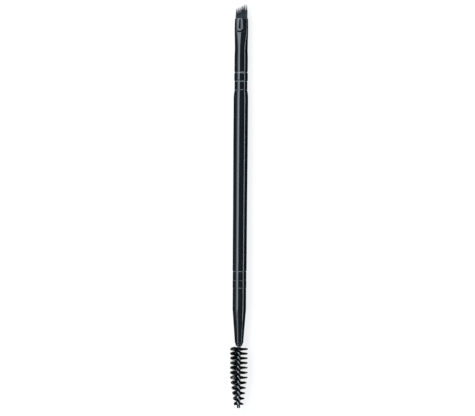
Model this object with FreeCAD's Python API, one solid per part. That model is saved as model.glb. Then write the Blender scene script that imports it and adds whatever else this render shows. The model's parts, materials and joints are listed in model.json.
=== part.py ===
import FreeCAD, Part
import math
import os

# Eyebrow brush with two ends: a flat angled tuft for brow powder, and a spoolie, the little
# spiral brush on a twisted wire that combs the hairs. It lies on its side, flat face up.
#
# Everything is built straight along the Y axis first. A station is a distance along the brush
# from the tip of the wire. At the end the whole brush is laid down by one turn and one lift.

Vector = FreeCAD.Vector
AXIS = Vector(0, 1, 0)

# Lengths along the brush, in mm.
bare_tip_length = 1.3            # wire left bare beyond the last bristles
bristle_length = 24.0
wire_neck_length = 0.6           # bare wire between the bristles and the ferrule's nose
spoolie_ferrule_length = 31.6
grip_length = 75.7               # lacquered wood that shows between the two ferrules
brush_ferrule_length = 30.3
tuft_reach = 6.64                # hair that shows beyond the brush ferrule

# Grip.
grip_diameter = 6.10             # the straight stretch that the fingers hold
grip_waist_diameter = 5.92
grip_foot_diameter = 5.88        # where the wood meets the spoolie ferrule
grip_shoulder_diameter = 5.44    # where it meets the brush ferrule
shoulder_length = 3.4
straight_grip_length = 18.8
grip_taper_length = 29.0

# Ferrules, thin aluminium tube.
ferrule_wall = 0.30
brush_tenon_length = 14.8        # turned wood that the brush ferrule is glued over
spoolie_tenon_gap = 1.1          # from the other tenon's end to the cone of its ferrule

spoolie_rim_diameter = 5.71
spoolie_barrel_diameter = 5.67
spoolie_swell_diameter = 5.78
spoolie_rim_length = 3.7
spoolie_swell_length = 2.8
spoolie_cone_length = 14.3
nose_wall = 0.9                  # metal left at the nose, in front of the bore
nose_bore_diameter = 2.80        # drilled through the cone, for the wire's plug
nose_length = 1.4
nose_shoulder_diameter = 3.54
nose_face_diameter = 1.90
groove_width = 0.5
spoolie_groove_depth = 0.06
brush_groove_depth = 0.10

brush_rim_diameter = 5.43
brush_rim_length = 3.5
bead_diameter = 5.70
bead_length = 3.4
bead_slope_length = 0.45         # each shoulder of the bead
swell_diameter = 5.62
swell_length = 6.2
swell_taper_length = 2.8         # from the swell down to where the crimping starts
crimp_start_diameter = 5.40
crimp_width = 5.78
crimp_thickness = 2.90
crimp_distance_from_mouth = 3.3
mouth_width = 5.56
mouth_thickness = 2.66
crimp_bands = 5                  # steps from the round tube to the creases

marked_face_degrees = 34         # half of the arc that the crimping die touches on each face
dent_heel_from_mouth = 4.2       # where the die's dent is deepest
dent_end_from_mouth = 0.4        # where it runs out
dent_depth = 0.20
dent_wall_slope = 0.25
dent_heel_length = 0.35          # from the deepest place back to the surface
crease_from_mouth = 5.25         # the curved crease that the die's edge leaves behind the dent
crease_reach = 1.4
crease_rise = 0.32               # how much nearer to the mouth its ends are
crease_width = 0.36
crease_depth = 0.09

# Tuft.
tuft_root_length = 9.0           # hair held inside the ferrule
lock_count = 9
tuft_flare_width = 5.06
tuft_flare_thickness = 2.24
tuft_flare_distance = 1.6
tuft_edge_thickness = 0.70
flute_share = 0.16               # how much thinner the tuft is between two locks
tuft_cut_slope = 0.47            # rise of the angled cut for each mm across
lock_notch_depth = 1.5

# Twisted wire and bristles.
wire_diameter = 0.65
filament_width = 0.10
strand_clearance = 0.035         # either side of a filament, between the two strands
first_half_turn = 1.83           # station where the filaments nearest the tip lie across
half_turn_length = 2.31          # half a twist at the tip
half_turn_growth = -0.02         # and how it tightens towards the ferrule
strand_sides = 6
strand_steps_per_half_turn = 4
bend_steps = 4
hairpin_half_turns = 14          # the folded end of the wire, held in the plug
plug_length = 6.5
spoolie_diameter = 7.60
spoolie_tip_diameter = 4.14
spoolie_cone_share = 0.49        # share of the bristle length that narrows to the tip
filaments_per_half_turn = 10
wire_hole_clearance = 0.02       # round the wire in the ferrule's nose

# Stations worked out from the lengths.
bristle_start = bare_tip_length
bristle_end = bristle_start + bristle_length
nose_start = bristle_end + wire_neck_length
nose_end = nose_start + nose_length
cone_end = nose_start + nose_length + spoolie_cone_length
grip_start = nose_start + spoolie_ferrule_length
grip_end = grip_start + grip_length
straight_grip_end = grip_end - shoulder_length
straight_grip_start = straight_grip_end - straight_grip_length
waist_end = straight_grip_start - grip_taper_length
mouth = grip_end + brush_ferrule_length
bead_start = grip_end + brush_rim_length + groove_width
swell_start = bead_start + bead_length + groove_width
crimp_start = swell_start + swell_length + swell_taper_length
crimp_station = mouth - crimp_distance_from_mouth
tuft_root = mouth - tuft_root_length
tuft_top = mouth + tuft_reach
lower_tenon_end = cone_end + spoolie_tenon_gap
upper_tenon_end = grip_end + brush_tenon_length
plug_end = nose_start + nose_wall + plug_length
strand_offset = (wire_diameter + filament_width) / 2 + strand_clearance
wire_reach = strand_offset + wire_diameter / 2

# The ferrules' insides are plain, so that the tenons turned for them are plain too.
lower_bore_diameter = spoolie_barrel_diameter - 2 * (spoolie_groove_depth + ferrule_wall)
upper_bore_diameter = crimp_start_diameter - 2 * ferrule_wall


def turned(outline):
    """Turn an outline round the brush's axis. Each entry is (station, radius), or a pair of
    such points: the point that a gentle curve bends towards, and the point where it ends."""
    def place(point):
        return Vector(0, point[0], point[1])

    here = place(outline[0])
    edges = []
    for entry in outline[1:]:
        if isinstance(entry[0], tuple):
            there = place(entry[1])
            curve = Part.BezierCurve()
            curve.setPoles([here, place(entry[0]), there])
            edges.append(curve.toShape())
        else:
            there = place(entry)
            edges.append(Part.LineSegment(here, there).toShape())
        here = there
    edges.append(Part.LineSegment(here, place(outline[0])).toShape())
    face = Part.Face(Part.Wire(edges))
    return face.revolve(Vector(0, 0, 0), AXIS, 360)


def groove(start, radius_before, radius_after, depth):
    """A rolled groove between two bands: two short slopes that meet at its bottom."""
    return [
        (start, radius_before),
        (start + groove_width / 2, min(radius_before, radius_after) - depth),
        (start + groove_width, radius_after),
    ]


def spoolie_barrel():
    """Outline of the spoolie ferrule's straight part, from the end of its cone to its rim: a
    slight swell between two fine grooves."""
    barrel = spoolie_barrel_diameter / 2
    swell = spoolie_swell_diameter / 2
    rim = spoolie_rim_diameter / 2
    upper_groove = grip_start - spoolie_rim_length - groove_width
    lower_groove = upper_groove - spoolie_swell_length - groove_width
    return [
        (cone_end, barrel),
        *groove(lower_groove, barrel, swell, spoolie_groove_depth),
        *groove(upper_groove, swell, rim, spoolie_groove_depth),
        (grip_start, rim),
    ]


def brush_barrel():
    """Outline of the brush ferrule's round part, from its rim to where the crimping starts: a
    raised bead between two fine grooves, then a long swell."""
    rim = brush_rim_diameter / 2
    bead = bead_diameter / 2
    swell = swell_diameter / 2
    bead_end = bead_start + bead_length
    return [
        (grip_end, rim),
        *groove(bead_start - groove_width, rim, rim, brush_groove_depth),
        (bead_start + bead_slope_length, bead),
        (bead_end - bead_slope_length, bead),
        *groove(bead_end, rim, rim, brush_groove_depth),
        (swell_start + bead_slope_length, swell),
        (swell_start + swell_length, swell),
        (crimp_start, crimp_start_diameter / 2),
    ]


def ease(share):
    """A smooth step from 0 to 1."""
    share = min(max(share, 0.0), 1.0)
    return share * share * (3 - 2 * share)


def oval(station, width, thickness, in_arcs=False):
    """A closed oval across the brush, wide along X and thin along Z. It can be made in four
    arcs: the two flat faces that the die marks, and the two sides between them."""
    centre = Vector(0, station, 0)
    wide_end = Vector(width / 2, station, 0)
    thin_end = Vector(0, station, thickness / 2)
    if thickness < width:
        outline = Part.Ellipse(wide_end, thin_end, centre)
    else:
        outline = Part.Circle(wide_end, thin_end, -wide_end + 2 * centre)
    if not in_arcs:
        return Part.Wire([outline.toShape()])
    face = math.radians(marked_face_degrees)
    corners = [math.pi / 2 - face, math.pi / 2 + face]
    corners += [corner + math.pi for corner in corners]
    corners.append(corners[0] + 2 * math.pi)
    return Part.Wire([outline.toShape(start, end) for start, end in zip(corners, corners[1:])])


def crimped_half_axes(station):
    """Half the width and half the thickness of the crimped tube at a station. It is pressed to a
    flat oval, wider and wider, thinner and thinner, then drawn in a little at the mouth."""
    pressed = ease((station - crimp_start) / (crimp_station - crimp_start))
    drawn = max(0.0, (station - crimp_station) / crimp_distance_from_mouth)
    width = crimp_start_diameter + (crimp_width - crimp_start_diameter) * pressed
    width -= (crimp_width - mouth_width) * drawn
    thickness = crimp_start_diameter + (crimp_thickness - crimp_start_diameter) * pressed
    thickness -= (crimp_thickness - mouth_thickness) * drawn
    return width / 2, thickness / 2


def crimped_end(inset):
    """The crimped part as a solid, made smaller all round by the inset: pressed flatter step by
    step, then the length that the die marks."""
    def section(station, in_arcs):
        half_width, half_thickness = crimped_half_axes(station)
        return oval(station, 2 * (half_width - inset), 2 * (half_thickness - inset), in_arcs)

    marked_start = mouth - crease_from_mouth - crease_width
    step = (marked_start - crimp_start) / crimp_bands
    pressed = [section(crimp_start + step * number, False) for number in range(crimp_bands + 1)]
    outside = inset == 0
    marked = [section(station, outside) for station in (marked_start, crimp_station, mouth)]
    return Part.makeLoft(pressed, True, True).fuse(Part.makeLoft(marked, True, True))


def slab(start, end):
    """A block across the brush between two stations, to cut a length out of a body."""
    reach = 2 * crimp_width
    return Part.makeBox(reach, end - start, reach, Vector(-reach / 2, start, -reach / 2))


def make_handle():
    """Turned wood in one piece: the grip, and a thinner tenon at each end for the ferrules."""
    foot = grip_foot_diameter / 2
    waist = grip_waist_diameter / 2
    full = grip_diameter / 2
    shoulder = grip_shoulder_diameter / 2
    lower_tenon = lower_bore_diameter / 2
    upper_tenon = upper_bore_diameter / 2
    waist_middle = (grip_start + waist_end) / 2
    taper_middle = (waist_end + straight_grip_start) / 2
    shoulder_third = shoulder_length / 3
    return turned([
        (lower_tenon_end, 0),
        (lower_tenon_end, lower_tenon),
        (grip_start, lower_tenon),
        (grip_start, foot),
        ((waist_middle, waist), (waist_end, waist)),
        ((taper_middle, waist * 0.6 + full * 0.4), (straight_grip_start, full)),
        (straight_grip_end, full),
        (straight_grip_end + shoulder_third, full - (full - shoulder) * 0.11),
        (straight_grip_end + 2 * shoulder_third, full - (full - shoulder) * 0.40),
        (grip_end, shoulder),
        (grip_end, upper_tenon),
        (upper_tenon_end, upper_tenon),
        (upper_tenon_end, 0),
    ])


def crimped_height(across, station):
    """Height of the crimped face above the axis, at a distance across from the middle."""
    half_width, half_thickness = crimped_half_axes(station)
    return half_thickness * math.sqrt(1 - (across / half_width) ** 2)


def dent_die():
    """The die's middle: a wide V that bites deepest at its heel and runs out near the mouth."""
    top = crimp_thickness
    heel = mouth - dent_heel_from_mouth
    sections = []
    for station, depth in (
        (heel - dent_heel_length, 0.0),
        (heel, dent_depth),
        (mouth - dent_end_from_mouth, 0.0),
    ):
        bottom = crimped_height(0, station) - depth
        spread = (top - bottom) / dent_wall_slope
        corners = [Vector(-spread, station, top), Vector(0, station, bottom),
                   Vector(spread, station, top)]
        sections.append(Part.makePolygon(corners + corners[:1]))
    return Part.makeLoft(sections, True, True)


def crease_die():
    """The die's edge: a V that runs across the face in a shallow curve."""
    sections = []
    for share in (-1, -0.45, 0.45, 1):
        across = share * crease_reach
        station = mouth - crease_from_mouth + crease_rise * (abs(share) == 1)
        surface = crimped_height(across, station)
        bottom = surface - crease_depth
        corners = [Vector(across, station - crease_width, surface + crease_depth),
                   Vector(across, station, bottom),
                   Vector(across, station + crease_width, surface + crease_depth)]
        sections.append(Part.makePolygon(corners + corners[:1]))
    return Part.makeLoft(sections, True, True)


def dies(side):
    """Both dies that close on one face."""
    pair = [dent_die(), crease_die()]
    if side < 0:
        for die in pair:
            die.rotate(Vector(0, 0, 0), AXIS, 180)
    return pair


def make_brush_ferrule():
    """Aluminium tube with a rolled groove and bead, crimped flat over the hair."""
    barrel = turned([(grip_end, 0), *brush_barrel(), (crimp_start, 0)])
    tube = barrel.fuse(crimped_end(0)).cut(brush_bore)
    return tube.cut(dies(1) + dies(-1))


def make_tuft_glue():
    """The resin that was poured on the roots of the hair, behind the tuft."""
    return brush_bore.common(slab(upper_tenon_end, tuft_root))


def tuft_section(station, width, thickness):
    """Outline across the tuft: a row of locks on each face, with a crease between every two,
    thin at both edges."""
    half = width / 2
    points = []
    for side in (1, -1):
        for step in range(2 * lock_count):
            across = side * (-half + width * step / (2 * lock_count))
            fullness = (1 - abs(across / half) ** 2.6) ** 0.5
            crease = 1 - flute_share * (step % 2 == 0)
            points.append(Vector(across, station, side * thickness / 2 * fullness * crease))
    return Part.makePolygon(points + points[:1])


def lock_cutter():
    """What the hair's uneven ends leave out of the tuft: a sawtooth edge along the angled cut,
    one point to each lock, with the points a little longer or shorter by turns."""
    half = tuft_flare_width / 2
    lock_width = tuft_flare_width / lock_count
    tall_side_top = tuft_top
    edge = [Vector(-half - 1, tuft_top + 2, 0)]
    for number in range(lock_count + 1):
        across = -half + lock_width * number
        cut_line = tall_side_top - tuft_cut_slope * (half - across)
        valley = cut_line - lock_notch_depth * (1 + 0.25 * math.cos(2.2 * number))
        edge.append(Vector(across - (0.3 if number == 0 else 0), valley, 0))
        if number < lock_count:
            peak_across = across + lock_width * (0.55 + 0.15 * math.sin(3.1 * number))
            peak = tall_side_top - tuft_cut_slope * (half - peak_across)
            peak -= 0.22 * (1 + math.sin(2.0 * number + 1.0))
            edge.append(Vector(peak_across, peak, 0))
    edge[-1] = Vector(half + 0.3, edge[-1].y, 0)
    edge.append(Vector(half + 1, tuft_top + 2, 0))
    edge.append(edge[0])
    face = Part.Face(Part.makePolygon(edge))
    cutter = face.extrude(Vector(0, 0, 2 * tuft_flare_thickness))
    cutter.translate(Vector(0, 0, -tuft_flare_thickness))
    return cutter


def make_angled_tuft():
    """Brow hair in one bundle: held in the ferrule, flaring a little as it leaves it, thinned
    to a chisel edge and cut at an angle."""
    root = brush_bore.common(slab(tuft_root, mouth))
    bore_width = mouth_width - 2 * ferrule_wall
    bore_thickness = mouth_thickness - 2 * ferrule_wall
    shown = Part.makeLoft([
        tuft_section(mouth, bore_width, bore_thickness),
        tuft_section(mouth + tuft_flare_distance, tuft_flare_width, tuft_flare_thickness),
        tuft_section(tuft_top, tuft_flare_width, tuft_edge_thickness),
    ], True, True)
    return root.fuse(shown.cut(lock_cutter()))


def station_of(half_turns):
    """Station where the twist has made this many half turns since the first one."""
    return first_half_turn + half_turn_length * half_turns + half_turn_growth * half_turns ** 2


def half_turns_at(station):
    """The number of half turns that the twist has made at a station."""
    reach = half_turn_length ** 2 + 4 * half_turn_growth * (station - first_half_turn)
    return (-half_turn_length + math.sqrt(reach)) / (2 * half_turn_growth)


def strand_section(half_turns, side):
    """The level cut through one strand of the twist. The strand leans, so the cut is stretched
    along the way it leans."""
    angle = math.pi * (half_turns + 0.5)
    rise = half_turn_length + 2 * half_turn_growth * half_turns
    stretch = math.hypot(1, math.pi * strand_offset / rise)
    middle_x = side * strand_offset * math.cos(angle)
    middle_z = side * strand_offset * math.sin(angle)
    points = []
    for number in range(strand_sides):
        around = 2 * math.pi * number / strand_sides
        across = math.cos(around - angle)
        along = math.sin(around - angle) / stretch
        radius = wire_diameter / 2 / math.hypot(across, along)
        x = middle_x + radius * math.cos(around)
        z = middle_z + radius * math.sin(around)
        points.append(Vector(x, station_of(half_turns), z))
    return Part.makePolygon(points + points[:1])


def make_hairpin_bend():
    """The tight half circle that joins the two strands at the folded end."""
    top = Vector(0, station_of(hairpin_half_turns), 0)
    sections = []
    for step in range(bend_steps + 1):
        section = strand_section(hairpin_half_turns, 1)
        section.rotate(top, Vector(1, 0, 0), 180 * step / bend_steps)
        sections.append(section)
    return Part.makeLoft(sections, True, True)


def make_twisted_wire():
    """One steel wire folded like a hairpin and twisted left-handed: two strands wind up from
    the cut tip and meet in a tight bend at the other end."""
    turns_at_tip = half_turns_at(0)
    steps = math.ceil((hairpin_half_turns - turns_at_tip) * strand_steps_per_half_turn)
    turns = [hairpin_half_turns - step / strand_steps_per_half_turn for step in range(steps)]
    turns.append(turns_at_tip)
    strands = [
        Part.makeLoft([strand_section(turn, side) for turn in turns], True, True)
        for side in (1, -1)
    ]
    return strands[0].fuse([strands[1], make_hairpin_bend()])


def bristle_reach(station):
    """How far a filament's tips stand from the axis: full, then narrowing to the tip."""
    cone = bristle_length * spoolie_cone_share
    share = min(1.0, (station - bristle_start) / cone)
    return (spoolie_tip_diameter + (spoolie_diameter - spoolie_tip_diameter) * share) / 2


def make_spoolie_bristles():
    """A single row of straight filaments laid between the strands, side by side. The twist fans
    them round into a double spiral."""
    first = math.ceil(half_turns_at(bristle_start) * filaments_per_half_turn)
    last = math.floor(half_turns_at(bristle_end) * filaments_per_half_turn)
    filaments = []
    for number in range(first, last):
        bottom = station_of(number / filaments_per_half_turn)
        top = station_of((number + 1) / filaments_per_half_turn)
        reach = bristle_reach(bottom)
        filament = Part.makeBox(
            2 * reach, top - bottom, filament_width, Vector(-reach, bottom, -filament_width / 2))
        turned_by = 180 * (number + 0.5) / filaments_per_half_turn
        filament.rotate(Vector(0, 0, 0), AXIS, -turned_by)
        filaments.append(filament)
    return filaments[0].multiFuse(filaments[1:])


def make_wire_plug():
    """The moulded plug in the ferrule's nose. The wire's folded end is pressed into its hole."""
    hole_depth = station_of(hairpin_half_turns) + wire_reach - nose_start
    hole = Part.makeCylinder(wire_reach, hole_depth, Vector(0, nose_start, 0), AXIS)
    return spoolie_bore.common(slab(nose_start, plug_end)).cut(hole)


def make_spoolie_ferrule():
    """Aluminium tube drawn down to a cone with a rolled-in nose, with a hole for the wire."""
    face = nose_face_diameter / 2
    shoulder = nose_shoulder_diameter / 2
    knee_drop = (shoulder - face) * 0.3
    outside = turned([
        (nose_start, 0),
        (nose_start, face),
        (nose_start + nose_length * 0.3, shoulder - knee_drop),
        (nose_end, shoulder),
        *spoolie_barrel(),
        (grip_start, 0),
    ])
    hole_radius = wire_reach + wire_hole_clearance
    hole = Part.makeCylinder(hole_radius, nose_length, Vector(0, nose_start, 0), AXIS)
    return outside.cut([spoolie_bore, hole])


def make_spoolie_bore():
    """The inside of the spoolie ferrule as a solid: wide for the tenon, drilled narrower through
    the cone."""
    inner_start = nose_start + nose_wall
    wide = Part.makeCylinder(
        lower_bore_diameter / 2, grip_start - cone_end, Vector(0, cone_end, 0), AXIS)
    narrow = Part.makeCylinder(
        nose_bore_diameter / 2, cone_end - inner_start, Vector(0, inner_start, 0), AXIS)
    return wide.fuse(narrow)


def make_brush_bore():
    """The inside of the brush ferrule as a solid: plain, then crimped with the tube."""
    plain_length = crimp_start - grip_end
    plain = Part.makeCylinder(upper_bore_diameter / 2, plain_length, Vector(0, grip_end, 0), AXIS)
    return plain.fuse(crimped_end(ferrule_wall))


spoolie_bore = make_spoolie_bore()
brush_bore = make_brush_bore()

pieces = {
    "handle": make_handle(),
    "brush_ferrule": make_brush_ferrule(),
    "angled_tuft": make_angled_tuft(),
    "tuft_glue": make_tuft_glue(),
    "spoolie_ferrule": make_spoolie_ferrule(),
    "wire_plug": make_wire_plug(),
    "twisted_wire": make_twisted_wire(),
    "spoolie_bristles": make_spoolie_bristles(),
}

# Lay the brush down: the spoolie is the fattest part, so the brush leans on its bristles at one
# end and on the wide end of the grip at the other.
lean = math.atan2((spoolie_diameter - grip_diameter) / 2, straight_grip_end - bristle_end)
for shape in pieces.values():
    shape.rotate(Vector(0, 0, 0), Vector(1, 0, 0), -math.degrees(lean))
everything = Part.makeCompound(list(pieces.values())).optimalBoundingBox(False, False)
floor = min(pieces["handle"].BoundBox.ZMin, pieces["spoolie_bristles"].BoundBox.ZMin)
centre = Vector(0, everything.Center.y, floor)

os.makedirs("parts", exist_ok=True)
for name, shape in pieces.items():
    shape = shape.Solids[0]
    shape.translate(-centre)
    box = shape.optimalBoundingBox(False, False)
    print(name, shape.ShapeType, len(shape.Solids), "solid", "valid", shape.isValid(),
          "volume", round(shape.Volume, 2), "mm3",
          "size", round(box.XLength, 2), round(box.YLength, 2), round(box.ZLength, 2))
    shape.exportStep(f"parts/{name}.step")
print("length", round(everything.YLength, 2), "lean", round(math.degrees(lean), 3), "degrees")
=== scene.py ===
# %% [markdown]
# # A double-ended eyebrow brush
# A slim lacquered handle carries two tools: a flat angled tuft that fills in the brow, and a
# spoolie that combs it. The solid pieces come from the construction model, and this lesson adds
# what solids can't show: hair, bristles, lacquer, coated metal and light. We open the model first
# and note the box that it fills, because all that we add has to stay close to it.

# %% Open the construction model
import json
import math
import random

import bpy
from mathutils import Matrix, Vector


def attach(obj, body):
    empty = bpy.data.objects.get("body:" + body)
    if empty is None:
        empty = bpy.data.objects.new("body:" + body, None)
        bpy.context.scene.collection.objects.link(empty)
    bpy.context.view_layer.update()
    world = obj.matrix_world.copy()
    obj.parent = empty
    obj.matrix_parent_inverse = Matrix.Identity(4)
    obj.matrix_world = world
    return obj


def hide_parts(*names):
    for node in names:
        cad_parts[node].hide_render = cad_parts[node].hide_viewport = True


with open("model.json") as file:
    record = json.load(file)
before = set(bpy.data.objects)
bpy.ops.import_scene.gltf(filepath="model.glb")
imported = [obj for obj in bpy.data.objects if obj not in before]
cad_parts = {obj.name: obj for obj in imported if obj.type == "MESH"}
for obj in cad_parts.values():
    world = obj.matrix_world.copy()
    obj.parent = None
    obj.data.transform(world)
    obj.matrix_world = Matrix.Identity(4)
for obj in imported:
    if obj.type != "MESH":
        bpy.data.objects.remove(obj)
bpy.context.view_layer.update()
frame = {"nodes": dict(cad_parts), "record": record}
print("Pieces:", ", ".join(sorted(frame["nodes"])))

# %% [markdown]
# ## The brush's own axis
# The brush lies down and leans a little, because its spoolie is fatter than its handle. We could
# build everything upright and lay it down at the end. But the construction model already holds
# the axis that we need, as the axis of its mount on the grip. So we take it from there, and count
# stations along it in millimetres, from the tip of the wire.

# %% Find the axis
MM = 0.001

grip = next(mount for mount in frame["record"]["mounts"] if mount["name"] == "grip")
along = Vector(grip["axis"]).normalized()
across = Vector((1, 0, 0))
above = across.cross(along)


def stations_of(node, origin):
    """The first and last station that a node reaches, in millimetres."""
    corners = frame["nodes"][node].data.vertices
    stations = [(corner.co - origin).dot(along) / MM for corner in corners]
    return min(stations), max(stations)


grip_middle = Vector(grip["pos_m"])
wire_tip = grip_middle + along * stations_of("twisted_wire", grip_middle)[0] * MM


def spot(x, station, z):
    """The place x mm to the right, z mm above the axis, at a station."""
    return wire_tip + across * x * MM + along * station * MM + above * z * MM


def place_of(point):
    """The way back: a point of the model as x, station and z in millimetres."""
    arm = (point - wire_tip) / MM
    return arm.dot(across), arm.dot(along), arm.dot(above)


reaches = {node: stations_of(node, wire_tip) for node in frame["nodes"]}
for node, (first, last) in sorted(reaches.items()):
    print(f"{node} runs from {first:.2f} to {last:.2f} mm")

# %% [markdown]
# ## Signals
# A finish in Blender is a graph of nodes, and each plus or times in it is a node of its own. Built
# by hand, such a chain is hard to read. So one small class wraps the output of a node and
# understands arithmetic from both sides: a formula in this script looks like the formula in a
# book, and adds its own nodes.

# %% Signal
class Signal:
    """One output of a node graph, which ordinary arithmetic turns into more nodes."""

    def __init__(self, graph, socket):
        self.graph = graph
        self.socket = socket

    def math(self, operation, first, second):
        return self.graph.add("ShaderNodeMath", {"operation": operation}, {0: first, 1: second})

    def __add__(self, other):
        return self.math("ADD", self, other)

    def __radd__(self, other):
        return self.math("ADD", other, self)

    def __sub__(self, other):
        return self.math("SUBTRACT", self, other)

    def __rsub__(self, other):
        return self.math("SUBTRACT", other, self)

    def __mul__(self, other):
        return self.math("MULTIPLY", self, other)

    def __rmul__(self, other):
        return self.math("MULTIPLY", other, self)

    def clamped(self):
        """The same signal, held between 0 and 1."""
        return self.graph.add("ShaderNodeClamp", {}, {"Value": self})

    def between(self, low, high):
        """0 below low, 1 above high, smooth between."""
        settings = {"interpolation_type": "SMOOTHSTEP"}
        values = {"Value": self, "From Min": low, "From Max": high}
        return self.graph.add("ShaderNodeMapRange", settings, values)


print("Signals understand plus, minus and times")

# %% [markdown]
# ## Graphs
# Every node comes from one method, which takes the type of the node, its settings and what goes
# into its sockets. Blender lets us write these out for each node, but then the same few lines
# come back again and again. The method serves the materials and, at the end, the room.

# %% Graph
class Graph:
    """A node graph that is built up node by node."""

    def __init__(self, tree):
        self.tree = tree
        self.tree.nodes.clear()

    def feed(self, socket, value):
        """Put a number, a colour or a signal into a socket."""
        if isinstance(value, Signal):
            self.tree.links.new(value.socket, socket)
        else:
            socket.default_value = value

    def add(self, kind, settings=None, values=None, output=0):
        """Any node: its type, its settings, what goes into its sockets, and which output."""
        node = self.tree.nodes.new(kind)
        for key, value in (settings or {}).items():
            setattr(node, key, value)
        for key, value in (values or {}).items():
            self.feed(node.inputs[key], value)
        return Signal(self, node.outputs[output]) if node.outputs else None

    def ray(self, kind):
        """1 for the rays of a kind, such as Is Camera Ray, and 0 for all others."""
        return self.add("ShaderNodeLightPath", {}, {}, kind)


print("A graph adds nodes of any type")

# %% [markdown]
# ## Finishes
# A finish is a graph round one Principled surface. Its patterns are noise whose size is given in
# millimetres, and its relief has a real depth, so a ripple stays as fine as it is on the brush.
# Image textures would do too, but they would have to be drawn first.

# %% Finish
class Finish(Graph):
    """A material with one Principled surface."""

    def __init__(self, name):
        self.material = bpy.data.materials.new(name)
        self.material.use_nodes = True
        super().__init__(self.material.node_tree)
        self.surface = self.add("ShaderNodeBsdfPrincipled")
        self.add("ShaderNodeOutputMaterial", {}, {"Surface": self.surface})

    def mix(self, share, first, second):
        """A colour part of the way from the first to the second. A Mix node has sockets for
        every kind of value, and those for colours are 6 and 7 going in and 2 coming out."""
        return self.add("ShaderNodeMix", {"data_type": "RGBA"}, {0: share, 6: first, 7: second}, 2)

    def noise(self, size_mm, detail, stretch=(1, 1, 1)):
        """A cloudy pattern on the object whose lumps are about this many millimetres wide."""
        point = self.add("ShaderNodeTexCoord", {}, {}, "Object")
        place = self.add("ShaderNodeVectorMath", {"operation": "MULTIPLY"}, {0: point, 1: stretch})
        values = {"Vector": place, "Scale": 1 / (size_mm * MM), "Detail": detail}
        return self.add("ShaderNodeTexNoise", {}, values, "Fac")

    def mark(self, title):
        """A share from 0 to 1 that the mesh carries at each of its points."""
        return self.add("ShaderNodeAttribute", {"attribute_name": title}, {}, "Fac")

    def bump(self, height, depth_mm):
        """Relief of a real depth, from a height between 0 and 1."""
        values = {"Height": height, "Distance": depth_mm * MM, "Strength": 1.0}
        return self.add("ShaderNodeBump", {}, values)

    def set(self, **values):
        """Set the surface's inputs: base_color="..." reaches the input named Base Color."""
        for key, value in values.items():
            title = " ".join(word.capitalize() for word in key.split("_"))
            self.feed(self.surface.socket.node.inputs[title.replace("Ior", "IOR")], value)


print("A finish has one Principled surface")

# %% [markdown]
# ## Colours and slots
# We pick colours as they look on a screen, from 0 to 255, but a renderer counts amounts of light.
# So a helper turns the one into the other by the standard curve of a screen. A second helper
# gives a piece its finish.

# %% Colour and dress
def colour(red, green, blue):
    """A colour given as it looks on a screen, 0 to 255, turned into amounts of light."""
    def light(value):
        share = value / 255
        return share / 12.92 if share <= 0.04045 else ((share + 0.055) / 1.055) ** 2.4

    return (light(red), light(green), light(blue), 1.0)


def dress(piece, finish, slot):
    """Give a piece its finish. The slot is not used."""
    piece.data.materials.clear()
    piece.data.materials.append(finish.material)
    print(f"{piece.name} wears {finish.material.name}")


print(f"A grey of 128 on a screen is {colour(128, 128, 128)[0]:.2f} of the light of white")

# %% [markdown]
# ## Black lacquer on wood
# The handle is turned birch under several coats of black lacquer. What we see is almost only
# reflection: a black that is a little blue, a hard clear coat, and the faint waviness of a
# sprayed film. So the base mirrors nothing, and a clear coat does it all. Its index of 1.75 makes
# it mirror about 7 percent of what stands before it. Handling leaves soft patches, where the base
# is a touch rougher.

# %% Lacquer
coat_index = 1.75

lacquer = Finish("black_lacquer")
orange_peel = lacquer.noise(1.6, 1.0)
grain = lacquer.noise(0.35, 3.0, (1, 0.06, 1))
handling = lacquer.noise(9.0, 3.0, (1, 0.4, 1)).between(0.45, 0.75)
streaks = grain.between(0.35, 0.7) * 0.35
wave_depth_mm = 0.0035
lacquer.set(
    base_color=lacquer.mix(streaks, colour(20, 27, 32), colour(31, 38, 42)),
    roughness=0.16 + 0.10 * handling,
    specular_ior_level=0.0,
    coat_weight=1.0,
    coat_ior=coat_index,
    coat_roughness=0.04,
    normal=lacquer.bump(orange_peel * 0.8 + grain * 0.2, wave_depth_mm),
)
print(f"The lacquer waves by {wave_depth_mm} mm")

# %% [markdown]
# ## Coated aluminium
# The ferrules are thin tube, coated in the same black. A tube turns against the rollers that
# press its bead and grooves, and they leave faint lines round it. Two marks on the mesh change the
# coating. In the fold of the crimp it is worn, and its gloss is gone. On the edges of rims and
# grooves it carries painted highlights: thin pale grey lines painted into its colour. Marks on the
# mesh follow the shape better than a painted mask would.

# %% Ferrule finish
coating = Finish("black_coated_aluminium")
rolled_lines = coating.noise(0.5, 2.0, (0.05, 1, 0.05))
cloud = coating.noise(6.0, 2.0)
film = coating.mix(cloud.between(0.4, 0.7) * 0.4, colour(19, 26, 31), colour(30, 36, 41))
line_depth_mm = 0.002
# Painted highlight: the second mark paints thin pale grey lines into the colour on rims and grooves.
coating.set(
    base_color=coating.mix(coating.mark("painted_highlight"), film, colour(132, 142, 148)),
    roughness=0.14 + 0.08 * cloud,
    specular_ior_level=0.0,
    coat_weight=1.0 - coating.mark("worn"),
    coat_ior=coat_index,
    coat_roughness=0.05,
    normal=coating.bump(rolled_lines, line_depth_mm),
)
print(f"The rolled lines are {line_depth_mm} mm deep")
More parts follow.
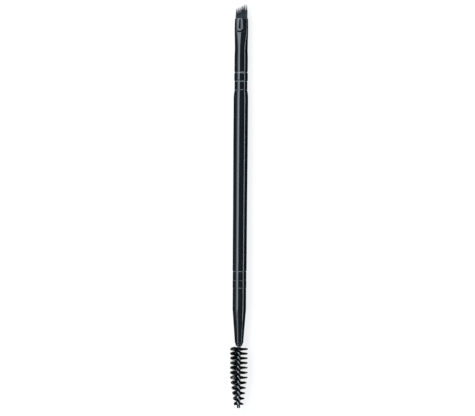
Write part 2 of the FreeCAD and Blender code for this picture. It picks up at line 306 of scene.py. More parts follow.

# %% [markdown]
# ## Steel wire
# The wire is bright drawn steel, with fine lines along each strand. Towards its cut tips and at its
# turns by the ferrule's nose it carries painted shade: its colour is painted dark there and the
# steel is made dull. The mesh carries a mark from painted shade to bright, and the same mark sets
# the colour, the metal and the shine, so that all three change together.

# %% Wire finish
steel = Finish("bright_steel_wire")
drawn = steel.noise(0.12, 3.0, (1, 0.2, 1))
bright = steel.mark("shade")
polished = steel.mix(drawn, colour(222, 224, 228), colour(243, 244, 246))
# Painted shade: where the mark falls to 0, towards the cut tips and at the nose, the colour is painted
# dark.
steel.set(
    base_color=steel.mix(bright, colour(22, 25, 28), polished),
    metallic=bright,
    roughness=0.40 - 0.08 * bright + 0.06 * drawn,
    specular_ior_level=0.1,
    normal=steel.bump(drawn, 0.002),
)
print("The wire goes from dull to bright along its length")

# %% [markdown]
# ## Plug and resin
# Two pieces are all but hidden: the moulded plug that holds the folded wire, and the resin on the
# roots of the hair. They stay as the construction model has them. Yet they get honest finishes,
# for whoever takes the brush apart, and smooth shading where their triangles meet at a shallow
# angle, so that their rims stay crisp.

# %% Hidden finishes
shallow_angle, steep_angle = math.radians(28), math.radians(50)

moulded = Finish("moulded_black_plastic")
spark = moulded.noise(0.2, 2.0)
moulded.set(
    base_color=moulded.mix(spark, colour(38, 38, 40), colour(50, 50, 52)),
    roughness=0.5 + 0.1 * spark,
    normal=moulded.bump(spark, 0.01),
)

resin = Finish("cured_resin")
bubbles = resin.noise(0.6, 2.0)
resin.set(
    base_color=resin.mix(bubbles, colour(176, 140, 84), colour(206, 176, 122)),
    roughness=0.2 + 0.2 * bubbles,
    normal=resin.bump(bubbles, 0.02),
)

for node, finish, slot in (("wire_plug", moulded, "plug_plastic"), ("tuft_glue", resin, "clear_resin")):
    carried = frame["nodes"][node]
    dress(carried, finish, slot)
    carried.data.shade_smooth()
    carried.data.set_sharp_from_angle(angle=shallow_angle)

# %% [markdown]
# ## How a fibre is drawn
# Hair, nylon and wire are the same thing to draw: a thin rod through a few points, with a radius
# at each. Blender has hair of its own, but a mesh goes anywhere the model goes. Three sides are
# enough for hair and nylon, which are less than a tenth of a millimetre wide, and the wire gets
# more. All fibres of a kind make one mesh, and every point of it carries a shade from 0 to 1.

# %% Fibre builder
class Fibres:
    """Many thin rods in one mesh."""

    askew = Vector((0.31, 0.17, 0.94))

    def __init__(self, sides=3):
        self.sides = sides
        self.vertices = []
        self.faces = []
        self.shades = []

    def ring(self, place, run, radius):
        """The corners of a rod at a place. No rod runs along the askew direction, so there is
        always a side at right angles to both."""
        side = run.cross(self.askew).normalized()
        other = run.cross(side)
        for corner in range(self.sides):
            angle = 2 * math.pi * corner / self.sides
            offset = (side * math.cos(angle) + other * math.sin(angle)) * radius
            self.vertices.append(spot(*(place + offset)))

    def add(self, points, radii, shades):
        """One rod through points (x, station, z) in millimetres, with a radius and a shade at
        each of them."""
        base = len(self.vertices)
        places = [Vector(point) for point in points]
        for number, place in enumerate(places):
            before = places[max(number - 1, 0)]
            after = places[min(number + 1, len(places) - 1)]
            self.ring(place, (after - before).normalized(), radii[number])
            self.shades += [shades[number]] * self.sides
        last = len(places) - 1
        for number in range(last):
            for corner in range(self.sides):
                here = base + number * self.sides + corner
                beside = base + number * self.sides + (corner + 1) % self.sides
                self.faces.append((here, beside, beside + self.sides, here + self.sides))
        start = [base + corner for corner in reversed(range(self.sides))]
        end = [base + last * self.sides + corner for corner in range(self.sides)]
        self.faces.extend((start, end))

    def build(self, name):
        mesh = bpy.data.meshes.new(name)
        mesh.from_pydata(self.vertices, [], self.faces)
        shade = mesh.attributes.new("shade", "FLOAT", "POINT")
        shade.data.foreach_set("value", self.shades)
        mesh.shade_smooth()
        piece = bpy.data.objects.new(name, mesh)
        bpy.context.scene.collection.objects.link(piece)
        triangles = sum(len(face) - 2 for face in self.faces)
        print(f"{name}: {len(self.shades)} points, {triangles} triangles")
        return piece


print(f"A hair has {Fibres().sides} sides")

# %% [markdown]
# ## Locks in the angled tuft
# Brow hair here is fine tapered nylon, glued into the ferrule in one flat bundle and cut at a
# slope. Hairs never stand evenly: they lean together in locks, whose tips end at different
# heights. We lay out the locks first, side by side over the width of the tuft, each a little off
# its place, and let every hair join the nearest one.

# %% Lay out the locks
random.seed(11)
lock_total = 7
lock_wander, lock_lean, lock_rise = 0.2, 0.5, 0.25

locks = []
for number in range(lock_total):
    middle = (number + 0.5 + random.uniform(-lock_wander, lock_wander)) / lock_total * 2 - 1
    lean = random.uniform(-lock_lean, lock_lean)
    locks.append((middle, lean, random.uniform(-lock_rise, lock_rise)))
print("Middles of the locks:", [round(middle, 2) for middle, _, _ in locks])

# %% [markdown]
# ## The angled tuft
# A hair leaves the mouth of the ferrule, swings out over the belly of the tuft and draws in to
# the chisel edge. Most hairs end about three millimetres short of the slope that the longest
# ones reach, and they make the solid part of the tuft. One in six runs on, by a length drawn
# from an exponential law: many run on a little and few a lot. So the slope fades out softly.

# %% One hair
mouth_station = reaches["brush_ferrule"][1]
top_station = reaches["angled_tuft"][1]
hair_count, long_hairs_each = 3400, 6
hair_radii = [0.040, 0.040, 0.036, 0.026, 0.008]
hair_start, hair_belly = -0.8, 1.5
root_half_width, root_half_thickness = 2.46, 1.0
hair_width, hair_thickness, chisel_thickness = 5.02, 2.15, 0.75
tuft_roundness = 2.6
cut_slope, solid_drop, fading_length = 0.46, 2.7, 1.1
uneven_length, tip_scatter = 0.3, 0.04
long_gather, short_gather = (0.1, 0.6), (0.0, 0.3)
chisel_depth, chisel_lean = 0.8, 0.3
notch_depth = 0.40
draw_in = ((0.45, 0.50, 0.4), (0.85, 0.84, 0.8))


def grow_hair(long):
    """The points of one hair, from inside the ferrule to its tip."""
    column = random.uniform(-1, 1)
    depth = random.uniform(-1, 1)
    edge = math.sqrt(max(0.0, 1 - abs(column) ** tuft_roundness))
    middle, lean, rise = min(locks, key=lambda lock: abs(lock[0] - column))
    gather = random.uniform(*(long_gather if long else short_gather))
    belly_x = column * hair_width / 2
    belly_z = depth * edge * hair_thickness / 2
    tip_x = (column + (middle - column) * gather) * hair_width / 2 + random.gauss(0, tip_scatter)
    tip_z = (depth * chisel_depth + lean * chisel_lean) * edge * chisel_thickness / 2
    cut = top_station - cut_slope * (hair_width / 2 - tip_x)
    if long:
        spread = random.expovariate(1 / fading_length)
    else:
        spread = random.uniform(-uneven_length, uneven_length)
    notch = abs(column - middle) * lock_total * notch_depth
    tip = min(cut, cut - solid_drop + spread + rise - notch)
    belly = min(mouth_station + hair_belly, (mouth_station + tip) / 2)
    points = [
        (column * root_half_width, mouth_station + hair_start, depth * edge * root_half_thickness),
        (belly_x, belly, belly_z),
    ]
    for share_x, share_up, share_z in draw_in:
        x = belly_x + (tip_x - belly_x) * share_x
        z = belly_z + (tip_z - belly_z) * share_z
        points.append((x, belly + (tip - belly) * share_up, z))
    return points + [(tip_x, tip, tip_z)]


print(f"The tuft stands {top_station - mouth_station:.1f} mm out of its ferrule")

# %% [markdown]
# ## Grow the tuft
# All the hairs go into one mesh. A particle system could scatter them too, but the points of each
# hair would be harder to steer, and it is their places that make the chisel edge.

# %% Grow the brow hair
tuft = Fibres()
for number in range(hair_count):
    points = grow_hair(long=number % long_hairs_each == 0)
    tuft.add(points, hair_radii, [random.random()] * len(points))
hair = tuft.build("brow_hairs")
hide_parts("angled_tuft")
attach(hair, "root")

# %% [markdown]
# ## Dark brow hair
# The hair is a soft blue grey, lighter than the lacquer, and no two hairs are quite alike. The
# shade that each hair carries does most of that, and a slow ripple along the hair does the rest.

# %% Hair finish
silk = Finish("dark_brow_hair")
shade = silk.mark("shade")
ripple = silk.noise(0.8, 2.0, (1, 0.3, 1))
silk.set(
    base_color=silk.mix(shade * 0.8 + ripple * 0.2, colour(34, 42, 49), colour(72, 84, 93)),
    roughness=0.38 + 0.12 * shade,
    normal=silk.bump(ripple, 0.004),
)
dress(hair, silk, "brow_hair")

# %% [markdown]
# ## The twist of the spoolie
# Straight nylon filaments are laid between the two halves of a folded wire. Twisting the wire
# grips them and fans them round, so their tips follow a double spiral. One law says at which
# station the wire has made how many half turns. It is the law of the construction model, with the
# same numbers, so that bristles and wire drawn here fall exactly where the solids are.

# %% The twist
first_half_turn = 1.83
half_turn_length = 2.31
half_turn_growth = -0.02
bristle_start, bristle_end = 1.3, 25.3
spoolie_radius, spoolie_tip_radius = 3.80, 2.07
spoolie_cone_share = 0.49


def station_of(half_turns):
    return first_half_turn + half_turn_length * half_turns + half_turn_growth * half_turns ** 2


def half_turns_at(station):
    reach = half_turn_length ** 2 + 4 * half_turn_growth * (station - first_half_turn)
    return (-half_turn_length + math.sqrt(reach)) / (2 * half_turn_growth)


def bristle_reach(station):
    """How far a filament stands out from the axis: a cone at the tip, then a cylinder."""
    cone = (bristle_end - bristle_start) * spoolie_cone_share
    share = min(1.0, (station - bristle_start) / cone)
    return spoolie_tip_radius + (spoolie_radius - spoolie_tip_radius) * share


first_bristle, last_bristle = half_turns_at(bristle_start), half_turns_at(bristle_end)
print(f"The bristles take {last_bristle - first_bristle:.1f} half turns of the wire")

# %% [markdown]
# ## One filament
# A real filament is never quite as long, as level or as straight as the next one. So each of its
# two arms gets a length, a bend and a lift of its own, and the whole gets a small tilt. Straight
# rods would be simpler, but they look like a comb.

# %% One filament
shortest_share = 0.93
fan_scatter, layer_scatter, tilt_scatter, bend_scatter, lift_scatter = 0.045, 0.03, 0.02, 0.05, 0.03
tip_to_tip = ((-1, 1.0), (-1, 0.6), (-1, 0.18), (1, 0.18), (1, 0.6), (1, 1.0))


def lay_filament(half_turns):
    """The points of one filament, from tip to tip through the wire."""
    station = station_of(half_turns)
    angle = math.pi * half_turns + random.gauss(0, fan_scatter)
    layer = random.uniform(-layer_scatter, layer_scatter)
    tilt = random.gauss(0, tilt_scatter)
    arms = {}
    for side in (-1, 1):
        reach = bristle_reach(station) * random.uniform(shortest_share, 1.0)
        bend = random.gauss(0, bend_scatter)
        arms[side] = reach, bend, random.gauss(0, lift_scatter) + side * tilt
    points = []
    for side, share in tip_to_tip:
        reach, bend, lift = arms[side]
        far = reach * share
        turned = angle + bend * share
        x = side * far * math.cos(turned) - layer * math.sin(angle)
        z = side * far * math.sin(turned) + layer * math.cos(angle)
        points.append((x, station + lift * far, z))
    return points


print(f"A filament runs through {len(tip_to_tip)} points")

# %% [markdown]
# ## Lay the spoolie
# The construction model has ten rods to a half turn, and here there are 180 finer ones. They
# follow each other along the twist, each somewhere within its own small share of it, because
# places drawn freely would leave clumps and gaps. Chance starts from a fixed number, so that the
# spoolie comes out the same each time.

# %% Lay the filaments
random.seed(5)
filaments_per_half_turn = 180
filament_radius = 0.038

spoolie = Fibres()
count = int((last_bristle - first_bristle) * filaments_per_half_turn)
for number in range(count):
    turn = first_bristle + (last_bristle - first_bristle) * (number + random.random()) / count
    points = lay_filament(turn)
    spoolie.add(points, [filament_radius] * len(points), [random.random()] * len(points))
bristles = spoolie.build("nylon_bristles")
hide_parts("spoolie_bristles")
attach(bristles, "root")

# %% [markdown]
# ## Black nylon
# The filaments are almost pure black and a little waxy. A dull surface keeps them dark even where
# they face a lamp, and each one's own shade keeps the fans from turning into one black mass.

# %% Nylon finish
nylon = Finish("black_nylon")
speck = nylon.noise(0.5, 1.0)
nylon.set(
    base_color=nylon.mix(nylon.mark("shade"), colour(5, 6, 7), colour(18, 20, 22)),
    roughness=0.45 + 0.15 * speck,
    specular_ior_level=0.2,
    normal=nylon.bump(speck, 0.003),
)
dress(bristles, nylon, "black_nylon")

# %% [markdown]
# ## Measure the turned pieces
# The construction model has true sizes, but it is made of flat triangles and sharp grooves, and on
# a mirror finish every facet shows. A subdivision would round things where we don't want it. So we
# measure the outline of a tube, ring by ring, and use it to draw the same tube with a finer skin.

# %% Measure the rings of a tube
def outline_of(node, least=40, gap=0.02, middle=0.8):
    """Every full ring of vertices of a node, as (station, half width, half thickness). Only
    the middle of a ring tells its thickness, because its sides are too steep."""
    corners = frame["nodes"][node].data.vertices
    places = sorted((place_of(corner.co) for corner in corners), key=lambda place: place[1])
    rings = [[places[0]]]
    for place in places[1:]:
        if place[1] - rings[-1][-1][1] > gap:
            rings.append([])
        rings[-1].append(place)
    outline = []
    for ring in rings:
        if len(ring) < least:
            continue
        half_width = max(abs(x) for x, _, _ in ring)
        inner = [(x / half_width, z) for x, _, z in ring if abs(x) < middle * half_width]
        half_thickness = max(abs(z) / math.sqrt(1 - share ** 2) for share, z in inner)
        outline.append((ring[0][1], half_width, half_thickness))
    return outline


def reach_at(outline, station):
    """Half width and half thickness at a station, straight between the measured rings."""
    for (start, *low), (end, *high) in zip(outline, outline[1:]):
        if station <= end:
            share = max(0.0, (station - start) / (end - start))
            return [a + (b - a) * share for a, b in zip(low, high)]
    return list(outline[-1][1:])


outlines = {node: outline_of(node) for node in ("brush_ferrule", "spoolie_ferrule", "handle")}
for node, outline in outlines.items():
    print(node, "has", len(outline), "rings")

# %% [markdown]
# ## Soften the edges
# No rolled groove is as sharp as a drawing, and no cut rim is a knife. A softened outline is the
# mean of a few readings close together, which rounds each corner over a twentieth of a millimetre
# on either side. At a rim the skin also falls back in a small bevel, which catches the light.

# %% Soft corners and bevels
def softened(outline, station, reach=0.05, samples=5):
    """Half width and half thickness, with the corners rounded off over a short reach."""
    offsets = [reach * (2 * number / (samples - 1) - 1) for number in range(samples)]
    values = [reach_at(outline, station + offset) for offset in offsets]
    return [sum(value) / samples for value in zip(*values)]


def rim_drop(distance, length=0.36, depth=0.19, rounding=0.15):
    """How far the skin falls back, this far from a rim."""
    share = max(0.0, 1 - distance / length)
    return depth * (share + math.hypot(share, rounding) - rounding) / 2


def smooth_step(value):
    """0 below 0, 1 above 1, smooth between."""
    value = min(max(value, 0.0), 1.0)
    return value * value * (3 - 2 * value)


print(f"A rim falls back by {rim_drop(0.0):.2f} mm")

# %% [markdown]
# ## Rings
# A skin is a row of rings with faces between them. Most rings are circles, but where the ferrule
# is pressed flat they are wider than thick. An ellipse would be the simple choice there, yet
# pressed tube keeps fuller corners, so a flattened ring is made a little squarer.

# %% Rings
ring_columns = 112
squareness = 0.5


def ring_at(station, half_width, half_thickness, relief=None):
    """One ring of a skin. The relief presses it inwards from both flat faces."""
    flatness = 1 - half_thickness / half_width
    power = 1 / (1 + squareness * flatness)
    ring = []
    for column in range(ring_columns):
        angle = 2 * math.pi * column / ring_columns
        x = half_width * math.copysign(abs(math.cos(angle)) ** power, math.cos(angle))
        z = half_thickness * math.copysign(abs(math.sin(angle)) ** power, math.sin(angle))
        if relief:
            z -= math.copysign(relief(x, station, abs(z)), z)
        ring.append((x, station, z))
    return ring


def round_ring(station, radius):
    return ring_at(station, radius, radius)


def stations_between(start, end, step):
    """Stations from start to end, evenly spaced and no further apart than the step."""
    count = math.ceil((end - start) / step)
    return [start + (end - start) * number / count for number in range(count + 1)]


print(f"Every ring has {ring_columns} points")

# %% [markdown]
# ## Draw a skin
# A tube runs out along the outside and back along the inside, and its last ring joins the first.
# A turned solid is closed by a cap at each end. A Screw modifier could spin an outline too, but
# not one that goes from round to flat, and the points of a mesh can also carry marks of wear and
# of painted highlight.

# %% Skin builder
def draw_skin(name, rings, hollow=True, marks=None):
    """A skin through rings of places. A mark gives a place's share of wear or of painted highlight."""
    vertices = [spot(*place) for ring in rings for place in ring]
    faces = []
    for number in range(len(rings) if hollow else len(rings) - 1):
        here = number * ring_columns
        there = (number + 1) % len(rings) * ring_columns
        for column in range(ring_columns):
            beside = (column + 1) % ring_columns
            faces.append((here + column, there + column, there + beside, here + beside))
    if not hollow:
        faces.append(list(range(ring_columns)))
        faces.append([len(vertices) - 1 - column for column in range(ring_columns)])
    mesh = bpy.data.meshes.new(name)
    mesh.from_pydata(vertices, [], faces)
    for title, mark in (marks or {}).items():
        wear_and_highlight = mesh.attributes.new(title, "FLOAT", "POINT")
        wear_and_highlight.data.foreach_set("value", [mark(*place) for ring in rings for place in ring])
    mesh.shade_smooth()
    mesh.set_sharp_from_angle(angle=steep_angle)
    piece = bpy.data.objects.new(name, mesh)
    bpy.context.scene.collection.objects.link(piece)
    print(f"{name}: {len(vertices)} points, {len(rings)} rings")
    return piece


print("A skin is hollow, or closed at both ends")

# %% [markdown]
# ## Painted highlight lines
# Round the rims and at the ends of the rolled bead and grooves run straight, thin, pale lines.
# Light on a sharp edge could make them, but then they would fade away from the lamps. So here they
# are painted highlights: pale lines painted into the coating's colour on the edges, which show from
# all sides. The rule below makes a mark for the ferrule finish out of a list of stations, each with
# its strength.

# %% Edge lines
def painted_highlight_lines(lines, half_width=0.25):
    """A painted highlight mark, strongest at each of the lines, given as (station, strength)."""
    def highlight_share(x, station, z):
        nearness = [strength * (1 - abs(station - line) / half_width) for line, strength in lines]
        return max(0.0, *nearness)

    return highlight_share


rolled_length = 9.5
ferrule_wall = 0.30
crease_step, fine_step, plain_step = 0.04, 0.05, 0.12
print(f"The rolled part of a ferrule is {rolled_length} mm long, from its rim")

# %% [markdown]
# ## The marks of the crimping die
# The ferrule is pressed flat round the hair by two dies. Each leaves a shallow V in the middle of
# its face, deepest at the heel and running out at the mouth, and a curved crease where the edge of
# the die bit into the metal. The fold also cracks the gloss of the coating. A bump map would be
# too weak for this, because the mirror bands have to break, so we press the mesh itself.

# %% Crease
brush_start, mouth = reaches["brush_ferrule"]
crease_station, crease_reach, crease_rise = mouth - 5.66, 1.6, 0.40
crease_depth, crease_half_width = 0.22, 0.37
fade_start, fade_length = 0.75 * crease_reach, 0.5 * crease_reach
share_with_gloss = 0.25


def crease_share(x, station):
    """How near a place is to the bottom of the crease, 0 to 1."""
    line = crease_station + crease_rise * (x / crease_reach) ** 2
    fade = 1 - smooth_step((abs(x) - fade_start) / fade_length)
    return fade * max(0.0, 1 - abs(station - line) / crease_half_width)


def cracked_gloss(x, station, z):
    """The mark of the crease: its gloss is gone over most of its width."""
    return smooth_step(crease_share(x, station) / share_with_gloss)


print(f"The crease bites {crease_depth} mm deep, {mouth - crease_station:.2f} mm from the mouth")

# %% [markdown]
# ## The dent
# The V is a valley with straight flanks. We work out how high a place stands above the floor of
# the valley and press it down by as much. Cutting a wedge away would give the same form with hard
# edges, but pressed metal is rounded at the bottom and at the lips, and so is this.

# %% Dent
brush_outline = outlines["brush_ferrule"]
dent_heel, dent_end = mouth - 4.2, mouth - 0.1
dent_half_width, heel_length, running_out = 2.0, 0.75, 0.12
dent_depth, shallow_depth, dent_slope = 0.25, 0.12, 0.26
valley_rounding, lip_rounding = 0.04, 0.012


def dent_bite(station):
    """Depth of the dent's bottom line under the flat face."""
    if station < dent_heel:
        return dent_depth * (1 - smooth_step((dent_heel - station) / heel_length))
    share = (station - dent_heel) / (dent_end - dent_heel)
    bite = dent_depth + (shallow_depth - dent_depth) * share
    return bite * smooth_step((1 - share) / running_out)


def die_marks(x, station, height):
    """Depth of the die's marks at a place on a flat face."""
    if station < crease_station - 1 or abs(x) > dent_half_width:
        return 0.0
    bite = dent_bite(station)
    flank = dent_slope * (math.hypot(x, valley_rounding) - valley_rounding)
    sunk = height - (reach_at(brush_outline, station)[1] - bite + flank)
    dent = (sunk + math.hypot(sunk, lip_rounding)) / 2 if bite > 0 else 0.0
    return max(dent, 0.0) + crease_depth * crease_share(x, station)


print(f"The dent is {dent_depth} mm deep at its heel and {shallow_depth} mm near the mouth")

# %% [markdown]
# ## The brush ferrule
# This ferrule is round at the handle, with a rim and a rolled bead, and flat at its mouth, where
# it holds the hair. One even step would do for the skin, but it would waste points on the plain
# stretches. So it runs along the outside in fine steps at the bead and the crease, and back along
# the inside in long ones, kept clear of the dents.

# %% Draw the brush ferrule
brush_steps = (
    (brush_start, fine_step),
    (brush_start + rolled_length, plain_step),
    (crease_station - 0.5, crease_step),
    (dent_heel + 0.2, plain_step),
    (mouth, 0.0),
)
mouth_bevel = {"length": 0.2, "depth": 0.06}
inside_step = 1.5
dent_room, dent_room_start, dent_room_end = 0.25, mouth - 5.5, mouth - 0.5

outside = []
for (start, step), (end, _) in zip(brush_steps, brush_steps[1:]):
    outside += stations_between(start, end, step)[:-1]
rings = []
for station in outside + [mouth]:
    half_width, half_thickness = softened(brush_outline, station)
    drop = rim_drop(station - brush_start) + rim_drop(mouth - station, **mouth_bevel)
    rings.append(ring_at(station, half_width - drop, half_thickness - drop, die_marks))
for station in reversed(stations_between(brush_start, mouth, inside_step)):
    half_width, half_thickness = reach_at(brush_outline, station)
    room = dent_room if dent_room_start < station < dent_room_end else 0.0
    rings.append(ring_at(station, half_width - ferrule_wall, half_thickness - ferrule_wall - room))

# Painted highlight lines at the rim and on the rolled part.
brush_lines = [(brush_start + 0.1, 0.95), (brush_start + 3.75, 0.75), (brush_start + 7.5, 0.75)]
marks = {"worn": cracked_gloss, "painted_highlight": painted_highlight_lines(brush_lines)}
crimped_ferrule = draw_skin("crimped_ferrule", rings, marks=marks)
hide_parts("brush_ferrule")
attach(crimped_ferrule, "root")
dress(crimped_ferrule, coating, "black_aluminium")

# %% [markdown]
# ## The spoolie ferrule
# The other ferrule is a plain barrel with two shallow grooves, drawn down to a cone, with its nose
# rolled in round the wire. It is round all along, so each ring needs only a radius. The inside is
# straight as far as the cone, narrows with it, and ends in the hole for the wire.

# %% Draw the spoolie ferrule
nose, rim = reaches["spoolie_ferrule"]
spoolie_outline = outlines["spoolie_ferrule"]
wire_hole, nose_wall, nose_bore = 0.76, 0.9, 1.38
straight_length = 15.9
barrel_bore = reach_at(spoolie_outline, rim - 0.1)[0] - ferrule_wall
cone_end = rim - straight_length

rings = []
plain_part = stations_between(nose, rim - rolled_length, plain_step)
fine_part = stations_between(rim - rolled_length, rim, fine_step)
for station in plain_part + fine_part[1:]:
    rings.append(round_ring(station, softened(spoolie_outline, station)[0] - rim_drop(rim - station)))
inside = ((rim, barrel_bore), (cone_end, barrel_bore), (nose + nose_wall, nose_bore),
          (nose + nose_wall, wire_hole), (nose, wire_hole))
rings += [round_ring(station, radius) for station, radius in inside]

# Painted highlight lines at the rim and at the two grooves.
spoolie_lines = [(rim - 0.15, 0.9), (rim - 4.0, 0.22), (rim - 7.2, 0.22)]
nose_ferrule = draw_skin("nose_ferrule", rings, marks={"painted_highlight": painted_highlight_lines(spoolie_lines)})
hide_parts("spoolie_ferrule")
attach(nose_ferrule, "root")
dress(nose_ferrule, coating, "black_aluminium")

# %% [markdown]
# ## The turned handle
# The handle swells a little towards the fingers and falls off in a shoulder at the brush ferrule.
# Its tenons, hidden in the ferrules, are plain cylinders. A lathe makes it as one solid, and so
# does the skin: a tenon, the grip, the other tenon, and a cap at each end.

# %% Turn the handle
handle_outline = outlines["handle"]
grip_step, end_margin, grip_softening = 0.3, 0.05, 0.04
lower_end, upper_end = reaches["handle"]
lower_tenon_radius = reach_at(handle_outline, lower_end)[0]
upper_tenon_radius = reach_at(handle_outline, upper_end)[0]

rings = [round_ring(station, lower_tenon_radius) for station in (lower_end, rim)]
for station in stations_between(rim, brush_start, grip_step):
    inner = min(max(station, rim + end_margin), brush_start - end_margin)
    rings.append(round_ring(station, softened(handle_outline, inner, grip_softening)[0]))
rings += [round_ring(station, upper_tenon_radius) for station in (brush_start, upper_end)]
turned_handle = draw_skin("turned_handle", rings, hollow=False)
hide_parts("handle")
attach(turned_handle, "root")
dress(turned_handle, lacquer, "black_lacquered_wood")

# %% [markdown]
# ## The twisted wire
# One wire, folded like a hairpin and twisted. We follow it as it really runs: up one strand,
# round the bend inside the plug, and down the other strand. It is one thick fibre, with more
# sides than a hair, because its glints are what the eye finds first on the spoolie.

# %% Wind the wire
wire_radius, strand_offset = 0.325, 0.41
hairpin_half_turns = 14
steps_per_half_turn, bend_steps = 18, 12
cut_share = 0.8

first_turn = half_turns_at(0.0)
steps = math.ceil((hairpin_half_turns - first_turn) * steps_per_half_turn)
climb = [first_turn + (hairpin_half_turns - first_turn) * step / steps for step in range(steps + 1)]


def strand_place(turn, side):
    """A place on one of the two strands. They lie a quarter turn away from the filaments."""
    angle = math.pi * (turn + 0.5)
    x = side * strand_offset * math.cos(angle)
    return x, station_of(turn), side * strand_offset * math.sin(angle)


bend_station = station_of(hairpin_half_turns)
bend_side = math.copysign(1, math.sin(math.pi * (hairpin_half_turns + 0.5)))
run = [strand_place(turn, 1) for turn in climb]
for number in range(1, bend_steps):
    angle = math.pi * number / bend_steps
    height = bend_side * strand_offset * math.cos(angle)
    run.append((0.0, bend_station + strand_offset * math.sin(angle), height))
run += [strand_place(turn, -1) for turn in reversed(climb)]
print(f"The wire runs through {len(run)} points")

# %% [markdown]
# ## Painted shade on the wire
# The wire is bright between the bristles. Towards its cut tips, and where it goes into the nose
# of the ferrule, it is painted dark and made dull over about a millimetre: painted shade. That is
# the shade of each point.

# %% Build the wire
bright_start, bright_rise = 1.3, 0.8
bright_end, bright_fall = bristle_end - 0.6, 0.8


def brightness(station):
    """0 where the wire is painted dark and dull as painted shade, 1 where it is bright."""
    rising = smooth_step((station - bright_start) / bright_rise)
    return rising * smooth_step((bright_end - station) / bright_fall)


radii = [wire_radius] * len(run)
radii[0] = radii[-1] = wire_radius * cut_share
wire = Fibres(sides=14)
# Each point's shade is painted shade towards the cut tips and at the nose, and bright between.
wire.add(run, radii, [brightness(station) for _, station, _ in run])
twisted = wire.build("wound_wire")
twisted.data.set_sharp_from_angle(angle=steep_angle)
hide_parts("twisted_wire")
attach(twisted, "root")
dress(twisted, steel, "steel_wire")

# %% [markdown]
# ## A plain white table
# The photograph shows the brush on pure white. More lamps would turn the table white, but they
# would wash out the lacquer as well. So the table glows by itself, only for the rays that come
# from the camera, off gloss or through glass, and it still takes the soft shadow of the brush.

# %% Table
def flat_sheet(name, half_size, height):
    """A level square sheet, centred under the brush."""
    sheet_mesh = bpy.data.meshes.new(name)
    corners = [(x * half_size, y * half_size, height) for x, y in ((-1, -1), (1, -1), (1, 1), (-1, 1))]
    sheet_mesh.from_pydata(corners, [], [(0, 1, 2, 3)])
    sheet = bpy.data.objects.new(name, sheet_mesh)
    bpy.context.scene.collection.objects.link(sheet)
    print(f"{name}: {2 * half_size:.1f} m wide")
    return sheet


paper = Finish("white_table")
seen = paper.ray("Is Camera Ray") + paper.ray("Is Glossy Ray") + paper.ray("Is Transmission Ray")
black, white = (0, 0, 0, 1), (1, 1, 1, 1)
paper.set(
    base_color=paper.mix(paper.noise(3.0, 2.0), colour(146, 146, 146), colour(150, 150, 150)),
    roughness=0.9,
    specular_ior_level=0.0,
    emission_color=paper.mix(seen.clamped(), black, white),
    emission_strength=0.80,
)
table = flat_sheet("table", 1.2, 0)
table.data.materials.append(paper.material)

# %% [markdown]
# ## A black card
# A photographer keeps the edges of a glossy black thing black by laying black card where its
# sides would mirror the table. Ours lies under the brush and is seen in reflections only, so it
# neither shows nor casts a shadow.

# %% Card
felt = Finish("black_felt")
felt.set(
    base_color=felt.mix(felt.noise(1.0, 2.0), colour(10, 11, 13), colour(22, 24, 27)),
    roughness=0.9,
    specular_ior_level=0.0,
)
card_lift = 0.00002
card = flat_sheet("black_card", 0.25, card_lift)
card.data.materials.append(felt.material)
card.visible_camera = False
card.visible_diffuse = False
card.visible_transmission = False
card.visible_shadow = False

# %% [markdown]
# ## The lamps
# On gloss black, a lamp is what it mirrors: each band of light on the handle is a lamp. A wide
# box on the left, with a dimmer edge, draws the broad band, and a narrow strip low on the right
# draws the thin line near the other edge. Straight above it is dark, and so the middle of the
# handle stays black. The cone of the spoolie ferrule looks towards the near end of the table,
# where a dimmer foot of each lamp goes on with its band. Two strips across the ends of the table
# light rims and grooves. All are a little cool, as the bands in the photograph are.

# %% Soft boxes
lamp_distance = 0.8
cool_light = (0.82, 0.92, 1.0)


def soft_box(name, turn_degrees, sky_degrees, length, shift, brightness):
    """A flat lamp that fills the sky between two angles from straight up. Unturned it leans to
    the right, and a quarter turn takes it to the far end of the table. The shift slides it along
    its own length. Its brightness is what a mirror would show of it."""
    start, end = (math.radians(angle) for angle in sky_degrees)
    width = 2 * lamp_distance * math.tan((end - start) / 2)
    lamp = bpy.data.lights.new(name, "AREA")
    lamp.shape = "RECTANGLE"
    lamp.color = cool_light
    lamp.size, lamp.size_y = width, length
    lamp.energy = brightness * math.pi * width * length
    holder = bpy.data.objects.new(name, lamp)
    turn = Matrix.Rotation(math.radians(turn_degrees), 4, "Z")
    lean = Matrix.Rotation((start + end) / 2, 4, "Y")
    holder.matrix_world = turn @ lean @ Matrix.Translation((0, shift, lamp_distance))
    bpy.context.scene.collection.objects.link(holder)
    print(f"{name}: {width:.2f} m wide, {lamp.energy:.1f} W")


left_sky, left_edge_sky, right_sky = (-37, -11.5), (-53, -37), (74, 81)
far_sky, near_sky = (42, 64), (-58, -35)
side_length, side_shift = 1.25, 0.42
foot_length, foot_shift = 0.30, -0.36
end_length, end_shift = 2.4, 0.3

soft_box("left_soft_box", 0, left_sky, side_length, side_shift, 3.4)
soft_box("left_box_edge", 0, left_edge_sky, side_length, side_shift, 1.3)
soft_box("right_strip", 0, right_sky, side_length, side_shift, 6.4)
soft_box("left_box_foot", 0, left_sky, foot_length, foot_shift, 2.1)
soft_box("right_strip_foot", 0, right_sky, foot_length, foot_shift, 3.5)
soft_box("far_strip", 90, far_sky, end_length, end_shift, 1.5)
soft_box("near_strip", 90, near_sky, end_length, end_shift, 1.5)

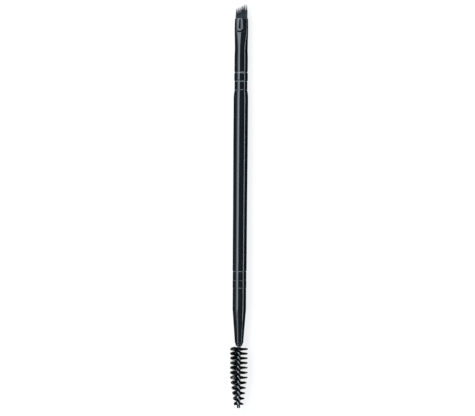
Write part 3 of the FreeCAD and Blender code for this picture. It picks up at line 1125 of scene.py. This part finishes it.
# %% [markdown]
# ## The room
# Behind the table the camera sees plain white, at a strength of one. The lacquer has to mirror a
# dark room all the same, or its blacks would turn grey. A Mix Shader between two backgrounds does
# both: the camera's rays get the bright one, and all other rays the dim one.

# %% World
room_strength = 0.045

world = bpy.data.worlds.new("studio")
world.use_nodes = True
studio = Graph(world.node_tree)
room = studio.add("ShaderNodeBackground", {}, {"Color": white, "Strength": room_strength})
backdrop = studio.add("ShaderNodeBackground", {}, {"Color": white, "Strength": 1.0})
choice = studio.add("ShaderNodeMixShader", {}, {0: studio.ray("Is Camera Ray"), 1: room, 2: backdrop})
studio.add("ShaderNodeOutputWorld", {}, {"Surface": choice})
bpy.context.scene.world = world
print(f"The lacquer sees a room of strength {room_strength}")

# %% [markdown]
# ## The camera
# The photograph looks down on the brush, but not quite square. The flat face of the crimp is seen
# a little turned, and the fans of the spoolie are thin on the right and open on the left, as they
# are for a lens close by. So the camera stands 62 cm away and leans 12 degrees to the right. Its
# lens is worked out so that one pixel covers 0.42 mm of the brush, and two pixel coordinates put
# the axis and the wire's tip where the photograph has them.

# %% Camera
pixel = 0.42 * MM
image_width, image_height = 475, 416
axis_pixel_x, wire_tip_pixel_y = 240.1, 407.7
camera_distance, axis_height = 0.62, 0.0034
camera_lean, picture_roll = math.radians(12), math.radians(0.35)

camera = bpy.data.cameras.new("camera")
camera.lens = camera.sensor_width * camera_distance / (image_width * pixel)
camera.clip_end = 10
viewer = bpy.data.objects.new("camera", camera)
aim_x = (image_width / 2 - axis_pixel_x) * pixel
aim_y = wire_tip.y + (wire_tip_pixel_y - image_height / 2) * pixel
aim = Matrix.Translation((aim_x, aim_y, axis_height))
stand = Matrix.Rotation(camera_lean, 4, "Y") @ Matrix.Rotation(picture_roll, 4, "Z")
viewer.matrix_world = aim @ stand @ Matrix.Translation((0, 0, camera_distance))
bpy.context.scene.collection.objects.link(viewer)
bpy.context.scene.camera = viewer
bpy.context.scene.view_settings.view_transform = "Standard"
print(f"The lens is {camera.lens:.0f} mm long")
